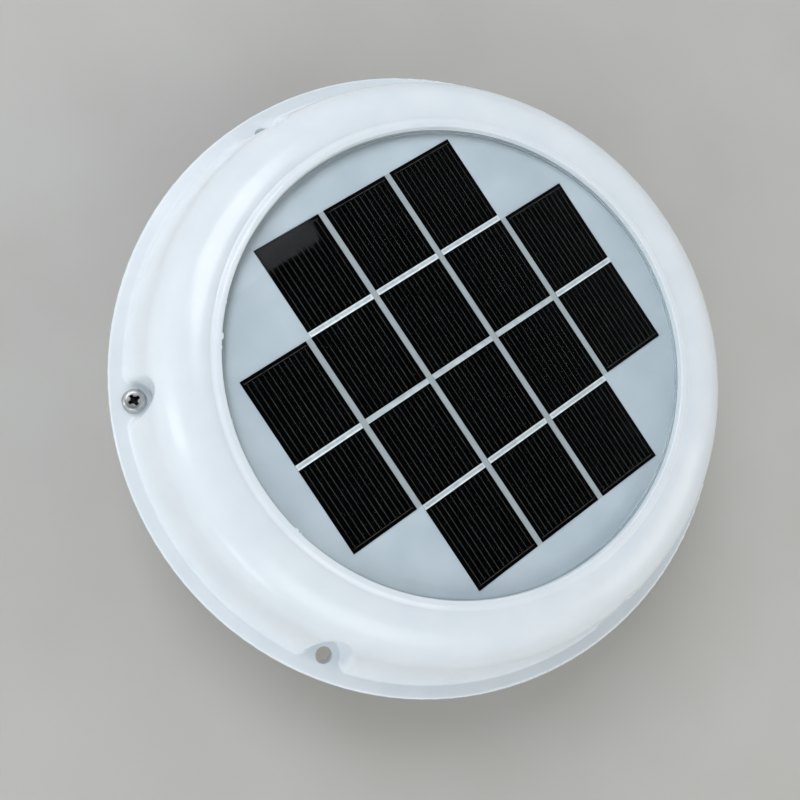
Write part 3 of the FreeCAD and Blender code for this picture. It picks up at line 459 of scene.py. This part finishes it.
# Top cover: the lip's square step becomes a soft fall with a shallow crease at its foot; sizes in mm
cover = {
    "lipFoot": 82.5,  # radius of the CAD step
    "lipRound": 0.48,
    "ringReach": 0.03,  # vertices this close to a ring belong to it
    "ringSlack": 0.02,
    "crownHeight": 41.0,
    "crownFall": 0.137,  # the crown's fall per mm outwards
    "fallStart": 80.4,  # radii between which the new fall lies
    "fallEnd": 83.3,
    "crease": 0.16,
    "creaseShare": 0.78,  # how far along the fall the crease is deepest
    "flash": ((170.8, 2.4, 0.55), (173.4, 1.2, 0.2), (163.0, 0.9, 0.16), (190.0, 1.1, 0.15),
              (218.4, 1.6, 0.4), (219.6, 0.8, 0.25)),  # degrees, length in mm, reach in mm
    "flashSunk": 0.3,
    "flashHeight": 0.4,
    "flashSides": 12,
    "flashRings": 8,
    "flashUnder": (0.7, 0.7, 0.4),  # how the underside of a slip is drawn in
    "flashWaist": -0.1,  # the height, in slips, below which it is underside
}
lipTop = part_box("top_cover")[1].z / mm
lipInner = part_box("panel_sealant")[1].x / mm
coverShell = copyNode("top_cover")


def findLipRings(thing):
    # The rings of the lip's outer round and its foot, as (radius, height) in mm.
    rings = []
    for vertex in thing.data.vertices:
        radius, height = vertex.co.xy.length / mm, vertex.co.z / mm
        outside = radius > cover["lipFoot"] - cover["lipRound"] - cover["ringSlack"]
        raised = height > cover["crownHeight"] - cover["ringSlack"]
        new = all(abs(radius - r) + abs(height - z) > cover["ringReach"] for r, z in rings)
        if outside and raised and new:
            rings.append((radius, height))
    return rings


def easeLip(thing):
    # Moves each ring along the new fall by its distance along the old step.
    wallTop = lipTop - cover["lipRound"]
    roundLength = cover["lipRound"] * math.pi / 2
    footHeight = cover["crownHeight"] - (cover["fallEnd"] - cover["lipFoot"]) * cover["crownFall"]
    for radius, height in findLipRings(thing):
        turned = math.atan2(radius - cover["lipFoot"] + cover["lipRound"], height - wallTop)
        along = roundLength + wallTop - height
        if height > wallTop:
            along = turned * cover["lipRound"]
        share = min(1.0, along / (roundLength + wallTop - cover["crownHeight"]))
        newRadius = cover["fallStart"] + share * (cover["fallEnd"] - cover["fallStart"])
        if share < cover["creaseShare"]:
            fallen = (1 - math.cos(math.pi * share / cover["creaseShare"])) / 2
            newHeight = lipTop - (lipTop - footHeight + cover["crease"]) * fallen
        else:
            newHeight = footHeight - cover["crease"] * (1 - share) / (1 - cover["creaseShare"])
        editVertices(thing, lambda place: abs(place.xy.length / mm - radius) + abs(place.z / mm - height)
                     < cover["ringReach"])
        growth = newRadius / radius
        bpy.ops.transform.resize(value=(growth, growth, 1), center_override=(0, 0, 0))
        bpy.ops.transform.translate(value=(0, 0, (newHeight - height) * mm))
        bpy.ops.object.mode_set(mode="OBJECT")


def makeFlash():
    # A slip of moulding flash, one unit across: a drop flattened underneath.
    bpy.ops.object.select_all(action="DESELECT")
    bpy.ops.mesh.primitive_uv_sphere_add(segments=cover["flashSides"], ring_count=cover["flashRings"],
                                         radius=0.5)
    slip = bpy.context.object
    editVertices(slip, lambda place: place.z < cover["flashWaist"])
    bpy.ops.transform.resize(value=cover["flashUnder"], center_override=(0, 0, 0))
    bpy.ops.object.mode_set(mode="OBJECT")
    return paint(slip, "mouldedAbsCover")


easeLip(coverShell)
flash = makeFlash()
slips = []
for angle, length, reach in cover["flash"]:
    turn = Matrix.Rotation(math.radians(angle), 4, "Z")
    place = Matrix.Translation((lipInner * mm, 0, (lipTop - cover["flashSunk"]) * mm))
    size = Matrix.Diagonal((2 * reach * mm, length * mm, cover["flashHeight"] * mm, 1))
    slips.append(copyThing(flash, turn @ place @ size))
bpy.data.objects.remove(flash)
coverShell = joinAll([paint(coverShell, "mouldedAbsCover")] + slips)
finish(coverShell, "coverShell", "housing", "top_cover", smooth=35.0)
print("cover made")

# Cells, ribbons and pane, from the panel's sizes above
cellFloor, cellTop = (corner.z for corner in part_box("solar_cell_01"))
gridTurn = Matrix.Rotation(math.radians(panel["gridTurn"]), 4, "Z")
columnPitch = (panel["cellWidth"] + panel["columnGap"]) * mm
rowPitch = (panel["cellLength"] + panel["rowGap"]) * mm


def makeCell(bareEnd):
    # One wafer about the grid's origin. bareEnd is +1 or -1 for the end that has a busbar, 0 for none.
    width = panel["cellWidth"] * mm
    length = panel["cellLength"] * mm
    margin = panel["printMargin"] * mm
    wafer = paint(addBlock(width, length, cellTop - cellFloor, low=cellFloor), "coatedSilicon")
    roundEdges(wafer, panel["cellEdge"] * mm, 1)
    bare = abs(bareEnd) * panel["busbarIn"] * mm
    pitch = width / (panel["fingers"] - 1 + 2 * panel["sideMargin"])
    fingers = addBlock(panel["fingerWidth"] * mm, length - bare - margin, panel["printHeight"] * mm,
                       (1 - panel["fingers"]) / 2 * pitch, -bareEnd * bare / 2, cellTop)
    repeat = fingers.modifiers.new("repeat", "ARRAY")
    repeat.use_relative_offset = False
    repeat.use_constant_offset = True
    repeat.constant_offset_displace = (pitch, 0, 0)
    repeat.count = panel["fingers"]
    applyAll(fingers)
    pieces = [wafer, paint(fingers, "silverPasteFingers")]
    if bareEnd:
        busbar = addBlock(width - 2 * margin, panel["busbarWidth"] * mm, panel["printHeight"] * mm, 0.0,
                          bareEnd * (length / 2 - bare), cellTop)
        pieces.append(paint(busbar, "silverPasteBusbar"))
    return joinAll(pieces)


def makeRibbon():
    # A flat tinned ribbon with a shallow channel down its middle, where the iron ran; the channel is painted
    # in a darker metal as shade.
    ribbon = addBlock(panel["cellWidth"] * mm, panel["ribbonWidth"] * mm, panel["ribbonThickness"] * mm,
                      low=cellFloor + panel["ribbonLift"] * mm)
    paint(ribbon, "tinnedCopperBright", "tinnedCopperWornAndChannelShade")
    editVertices(ribbon, lambda place: place.z > cellFloor + panel["ribbonThickness"] * mm)
    bpy.ops.mesh.select_mode(type="FACE")
    bpy.ops.mesh.inset(thickness=panel["channelIn"] * mm, depth=-panel["channelDepth"] * mm)
    ribbon.active_material_index = 1
    bpy.ops.object.material_slot_assign()
    bpy.ops.object.mode_set(mode="OBJECT")
    return ribbon


cellModels = {bareEnd: makeCell(bareEnd) for bareEnd in (-1, 0, 1)}
ribbonModel = makeRibbon()
ribbons = []
number = 0
lastRow = len(panel["columns"]) - 1
middleColumn = max(map(max, panel["columns"])) / 2
dullRow, dullColumns = panel["reheated"]
for row, columns in enumerate(panel["columns"]):
    above = panel["columns"][row - 1] if row > 0 else ()
    below = panel["columns"][row + 1] if row < lastRow else ()
    for column in columns:
        number += 1
        bareEnd = (column in below) - (column in above)
        across = (column - middleColumn) * columnPitch
        place = Matrix.Translation((across, (lastRow / 2 - row) * rowPitch, 0))
        cell = copyThing(cellModels[bareEnd], gridTurn @ place)
        finish(cell, f"cellWafer_{number:02d}", "housing", f"solar_cell_{number:02d}",
               smooth=0)
        if column in below:
            ribbon = copyThing(ribbonModel, gridTurn @ Matrix.Translation((0, -rowPitch / 2, 0)) @ place)
            if row == dullRow and column in dullColumns:
                # Reheated ribbons: greyer metal, and a duller metal as painted shade in the channel
                paint(ribbon, "tinnedCopperWornAndChannelShade", "tinnedCopperReheatedChannelShade")
            ribbons.append(ribbon)
for model in list(cellModels.values()) + [ribbonModel]:
    bpy.data.objects.remove(model)
finish(joinAll(ribbons), "ribbonSet", "housing", "cell_ribbons", smooth=0)

paneFoot = cellTop + panel["paneLift"] * mm
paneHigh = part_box("panel_glass")[1]
paneRadius = paneHigh.x - panel["paneGap"] * mm
pane = paint(addCylinder(paneRadius, paneFoot, paneHigh.z, panel["paneSides"]), "clearCoverSheet")
roundEdges(pane, panel["paneChamfer"] * mm, 3)
finish(pane, "coverPane", "housing", "panel_glass", smooth=40.0)
print("panel made")

# Deck screw: a pan head with a cross recess and a coarse tapping thread; sizes in mm
deckScrew = {
    "headHeight": 2.6,
    "headSides": 96,
    "crown": 1.9,
    "crownSteps": 10,
    "shankRadius": 1.55,
    "shankSides": 32,
    "shankSunk": 0.2,  # into the head
    "tipLength": 3.0,
    "tipRadius": 0.1,
    "pitch": 1.4,
    "turnSteps": 24,
    "threadClear": 1.5,  # plain shank between the thread and the head
    "recessLength": 5.2,
    "recessWidth": 1.35,
    "recessDepth": 1.7,
    "recessTaper": (0.55, 0.8, 1),
    "recessRound": 0.4,
    "recessRoundSteps": 4,
    "recessMiddle": 1.25,
    "recessOver": 1.0,  # how far its cutter stands out of the head
    "recessTurn": 28.0,
}
screwLow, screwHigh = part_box("flange_screw")
screwHeadRadius = (screwHigh.x - screwLow.x) / 2
screwSeat = screwHigh.z - deckScrew["headHeight"] * mm
shankLow = screwLow.z - screwSeat


def makeScrewHead():
    # The head seated at height 0, crowned, with the tapered cross cut into it.
    headHeight = deckScrew["headHeight"] * mm
    recessFloor = headHeight - deckScrew["recessDepth"] * mm
    head = paint(addCylinder(screwHeadRadius, 0.0, headHeight, deckScrew["headSides"]), "headedStainless")
    editVertices(head, lambda place: place.z > headHeight / 2)
    bpy.ops.mesh.bevel(offset=deckScrew["crown"] * mm, segments=deckScrew["crownSteps"], profile=0.5)
    bpy.ops.object.mode_set(mode="OBJECT")
    arm = addBlock(deckScrew["recessLength"] * mm, deckScrew["recessWidth"] * mm,
                   2 * deckScrew["recessDepth"] * mm, low=recessFloor)
    editVertices(arm, lambda place: place.z < headHeight)
    bpy.ops.transform.resize(value=deckScrew["recessTaper"], center_override=(0, 0, 0))
    bpy.ops.object.mode_set(mode="OBJECT")
    roundEdges(arm, deckScrew["recessRound"] * mm, deckScrew["recessRoundSteps"])
    crossArm = copyThing(arm, Matrix.Rotation(math.radians(90), 4, "Z"))
    middle = addCylinder(deckScrew["recessMiddle"] * mm, recessFloor,
                         headHeight + deckScrew["recessOver"] * mm, deckScrew["shankSides"])
    # The walls of the cross keep the cutters' black finish, which is painted shade in the recess
    for cutter in (arm, crossArm, middle):
        cutter.rotation_euler = (0, 0, math.radians(deckScrew["recessTurn"]))
        cutOut(head, paint(settle(cutter), "recessPaintedShade"))
    return head


def makeScrewThread(low, high):
    # A three-cornered ridge wound round the shank by the Screw modifier.
    bpy.ops.object.select_all(action="DESELECT")
    bpy.ops.mesh.primitive_circle_add(vertices=3, radius=deckScrew["pitch"] / 2 * mm, fill_type="NOTHING",
                                      rotation=(math.radians(90), 0, 0),
                                      location=(deckScrew["shankRadius"] * mm, 0, low))
    ridge = settle(bpy.context.object)
    wind = ridge.modifiers.new("wind", "SCREW")
    wind.axis = "Z"
    wind.angle = math.radians(360)
    wind.screw_offset = deckScrew["pitch"] * mm
    wind.iterations = int((high - low) / (deckScrew["pitch"] * mm))
    wind.steps = deckScrew["turnSteps"]
    wind.render_steps = deckScrew["turnSteps"]
    applyAll(ridge)
    bpy.ops.object.mode_set(mode="EDIT")
    bpy.ops.mesh.select_all(action="SELECT")
    bpy.ops.mesh.fill_holes(sides=0)
    bpy.ops.mesh.normals_make_consistent(inside=False)
    bpy.ops.object.mode_set(mode="OBJECT")
    return paint(ridge, "headedStainless")


def makeDeckScrew():
    tipTop = shankLow + deckScrew["tipLength"] * mm
    radius = deckScrew["shankRadius"] * mm
    shank = addCylinder(radius, tipTop, deckScrew["shankSunk"] * mm, deckScrew["shankSides"])
    tip = addCylinder(radius, shankLow, tipTop, deckScrew["shankSides"], deckScrew["tipRadius"] * mm)
    thread = makeScrewThread(tipTop, -deckScrew["threadClear"] * mm)
    for part in (shank, tip):
        paint(part, "headedStainless")
    screw = joinAll([makeScrewHead(), shank, tip, thread])
    screw.location = ((screwLow.x + screwHigh.x) / 2, (screwLow.y + screwHigh.y) / 2, screwSeat)
    return screw


finish(makeDeckScrew(), "deckScrew", "housing", "flange_screw", smooth=35.0)
print("deck screw made")

# Insect screen: plain-woven wire in a pressed rim, drawn with a 2.5 mm mesh where the real one is 1.2 mm
insectScreen = {
    "rim": 4.0,
    "rimRound": 0.2,
    "rimSides": 128,
    "pitch": 2.5,
    "wireRadius": 0.16,
    "wireSides": 5,
    "wave": 0.17,
    "waveSteps": 8,
    "wireMerge": 0.01,
    "sectionReach": 0.05,  # vertices this close to a section of the wire belong to it
}
screenLow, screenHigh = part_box("insect_screen")
screenRadius = screenHigh.x
screenMiddle = (screenLow.z + screenHigh.z) / 2


def makeWire(side):
    # One full wave of a wire; side is 0 or 1 for neighbours, which wave the opposite way.
    pitch = insectScreen["pitch"] * mm
    bpy.ops.object.select_all(action="DESELECT")
    bpy.ops.mesh.primitive_cylinder_add(vertices=insectScreen["wireSides"],
                                        radius=insectScreen["wireRadius"] * mm, depth=2 * pitch,
                                        end_fill_type="NOTHING", rotation=(0, math.radians(90), 0),
                                        location=(pitch, side * pitch, screenMiddle))
    wire = settle(bpy.context.object)
    bpy.ops.object.mode_set(mode="EDIT")
    bpy.ops.mesh.select_mode(type="EDGE")
    bpy.ops.mesh.select_all(action="DESELECT")
    bpy.ops.object.mode_set(mode="OBJECT")
    for edge in wire.data.edges:
        first, last = (wire.data.vertices[index].co for index in edge.vertices)
        edge.select = abs(first.x - last.x) > pitch
    bpy.ops.object.mode_set(mode="EDIT")
    bpy.ops.mesh.subdivide(number_cuts=insectScreen["waveSteps"] - 1)
    bpy.ops.object.mode_set(mode="OBJECT")
    for step in range(insectScreen["waveSteps"] + 1):
        along = 2 * pitch * step / insectScreen["waveSteps"]
        rise = insectScreen["wave"] * mm * math.cos(math.pi * (along / pitch + side))
        editVertices(wire, lambda place: abs(place.x - along) < insectScreen["sectionReach"] * mm)
        bpy.ops.transform.translate(value=(0, 0, rise))
        bpy.ops.object.mode_set(mode="OBJECT")
    return wire


def makeWeaveWires():
    # Two neighbouring wires repeated along and across, then trimmed round inside the rim.
    repeat = 2 * insectScreen["pitch"] * mm
    inner = screenRadius - insectScreen["rim"] / 2 * mm
    count = int(inner / repeat) + 1
    weave = joinAll([makeWire(0), makeWire(1)])
    for name, offset in (("along", (repeat, 0, 0)), ("across", (0, repeat, 0))):
        array = weave.modifiers.new(name, "ARRAY")
        array.use_relative_offset = False
        array.use_constant_offset = True
        array.constant_offset_displace = offset
        array.count = 2 * count
        array.use_merge_vertices = name == "along"
        array.merge_threshold = insectScreen["wireMerge"] * mm
    applyAll(weave)
    weave.location = (-repeat * count, -repeat * count, 0)
    settle(weave)
    editVertices(weave, lambda place: place.xy.length > inner)
    bpy.ops.mesh.delete(type="VERT")
    bpy.ops.mesh.select_all(action="SELECT")
    bpy.ops.mesh.fill_holes(sides=insectScreen["wireSides"])
    bpy.ops.mesh.normals_make_consistent(inside=False)
    bpy.ops.object.mode_set(mode="OBJECT")
    return weave


def makeInsectScreen():
    # The same set of wires twice, the second turned over and across the first, inside the rim.
    weft = makeWeaveWires()
    toMiddle = Matrix.Translation((0, 0, screenMiddle))
    turnOver = Matrix.Rotation(math.radians(90), 4, "Z") @ Matrix.Rotation(math.pi, 4, "X")
    warp = copyThing(weft, toMiddle @ turnOver @ toMiddle.inverted())
    inner = screenRadius - insectScreen["rim"] * mm
    rim = addCylinder(screenRadius, screenLow.z, screenHigh.z, insectScreen["rimSides"])
    cutOut(rim, addCylinder(inner, screenLow.z - mm, screenHigh.z + mm, insectScreen["rimSides"]))
    roundEdges(rim, insectScreen["rimRound"] * mm, 3)
    return paint(joinAll([rim, weft, warp]), "drawnStainlessWire")


finish(makeInsectScreen(), "insectScreen", "housing", "insect_screen", smooth=40.0)
print("insect screen made")

# CAD nodes that keep their shape
carried = {
    "panel_backing": "backingLaminate",
    "panel_sealant": "siliconeSealant",
    "wire_grommet": "mouldedRubberBlack",
    "solder_terminals": "tinnedCopperBright",
    "housing_screws": "headedStainless",
    "motor_can": "zincPlatedSteel",
    "motor_end_cap": "mouldedNylonBlack",
    "motor_magnets": "sinteredFerrite",
    "lower_bearing": "sinteredBronze",
    "upper_bearing": "sinteredBronze",
    "motor_brushes": "sinteredBronze",
    "motor_terminals": "tinnedCopperBright",
    "motor_screws": "headedStainless",
    "motor_shaft": "headedStainless",
    "armature_core": "stackedLaminations",
    "armature_windings": "enamelledCopper",
    "commutator": "sinteredBronze",
    "positive_wire": "extrudedPvcRed",
    "negative_wire": "extrudedPvcBlack",
}
for node, surface in carried.items():
    paint(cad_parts[node], surface)

# Pieces whose moulded edges are broken: node, new name, body, slot, finish, edge in mm
edgeSteps = 2
edgeTurn = 40.0  # degrees; gentler edges stay as they are
softened = (
    ("duct_housing", "ductHousing", "housing", "housing_plastic", "mouldedAbsHousing", 0.25),
    ("motor_cover", "motorLid", "housing", "housing_plastic", "mouldedAbsHousing", 0.3),
    ("deck_gasket", "deckGasket", "housing", "gasket_foam", "closedCellFoam", 0.3),
    ("closing_grille", "closingGrille", "housing", "housing_plastic", "mouldedAbsHousing", 0.3),
    ("shutter_disc", "shutterDisc", "shutter", "housing_plastic", "mouldedAbsHousing", 0.3),
    ("shutter_pivot", "shutterPivot", "housing", "black_nylon", "mouldedNylonBlack", 0.3),
    ("impeller", "impeller", "rotor", "impeller_plastic", "mouldedPolypropylene", 0.3),
    ("impeller_cap", "impellerCap", "rotor", "impeller_plastic", "mouldedPolypropylene", 0.3),
)
for node, name, body, slot, surface, edge in softened:
    piece = paint(copyNode(node), surface)
    roundEdges(piece, edge * mm, edgeSteps, edgeTurn)
    finish(piece, name, body, node)
print("housing and moving pieces finished")

# Floor and lamps
floorSize = 4.0
bpy.ops.object.select_all(action="DESELECT")
bpy.ops.mesh.primitive_plane_add(size=floorSize, location=(0, 0, cadBox[0][2]))
floor = paint(bpy.context.object, "paleFloor")
floor.name = "floor"

# Area lamps that face the object; places and sizes in metres, power in watts
lamps = {
    "skyLight": {"place": (-0.48, 0.85, 1.3), "size": (0.85, 0.85), "power": 10.5, "colour": "#F4F8FF"},
    "window": {"place": (-1.386, -0.046, 0.42), "size": (0.26, 0.6), "power": 1.9, "colour": "#F2F8FF"},
    "lowWindow": {"place": (-1.0, -0.84, 0.11), "size": (0.35, 0.14), "power": 0.6, "colour": "#F2F8FF"},
    "front": {"place": (-0.4, -1.3, 0.9), "size": (1.2, 0.8), "power": 5.0, "colour": "#F6FAFF"},
    "fill": {"place": (1.6, -0.8, 0.9), "size": (1.2, 1.0), "power": 5.2, "colour": "#FFF5E8"},
}
for name, lamp in lamps.items():
    light = bpy.data.lights.new(name, "AREA")
    light.shape = "RECTANGLE"
    light.size, light.size_y = lamp["size"]
    light.energy = lamp["power"]
    light.color = hexColour(lamp["colour"])[:3]
    lampObject = bpy.data.objects.new(name, light)
    lampObject.location = lamp["place"]
    lampObject.rotation_euler = Vector(lamp["place"]).to_track_quat("Z", "Y").to_euler()
    scene.collection.objects.link(lampObject)

# The room's light, brightest at the horizon and dim overhead
roomLight = {
    "stops": ((0.5, "#EDF3F7"), (0.88, "#3E4144")),
    "strength": 0.95,
}
room = bpy.data.worlds.new("room")
room.use_nodes = True
scene.world = room
sky = addNode(room.node_tree, "ShaderNodeTexCoord").outputs["Generated"]
height = addNode(room.node_tree, "ShaderNodeSeparateXYZ", {"Vector": sky}).outputs["Z"]
glow = addNode(room.node_tree, "ShaderNodeValToRGB", {"Fac": height}, stops=roomLight["stops"])
background = room.node_tree.nodes["Background"]
room.node_tree.links.new(glow.outputs["Color"], background.inputs["Color"])
background.inputs["Strength"].default_value = roomLight["strength"]
print("floor and lamps set")
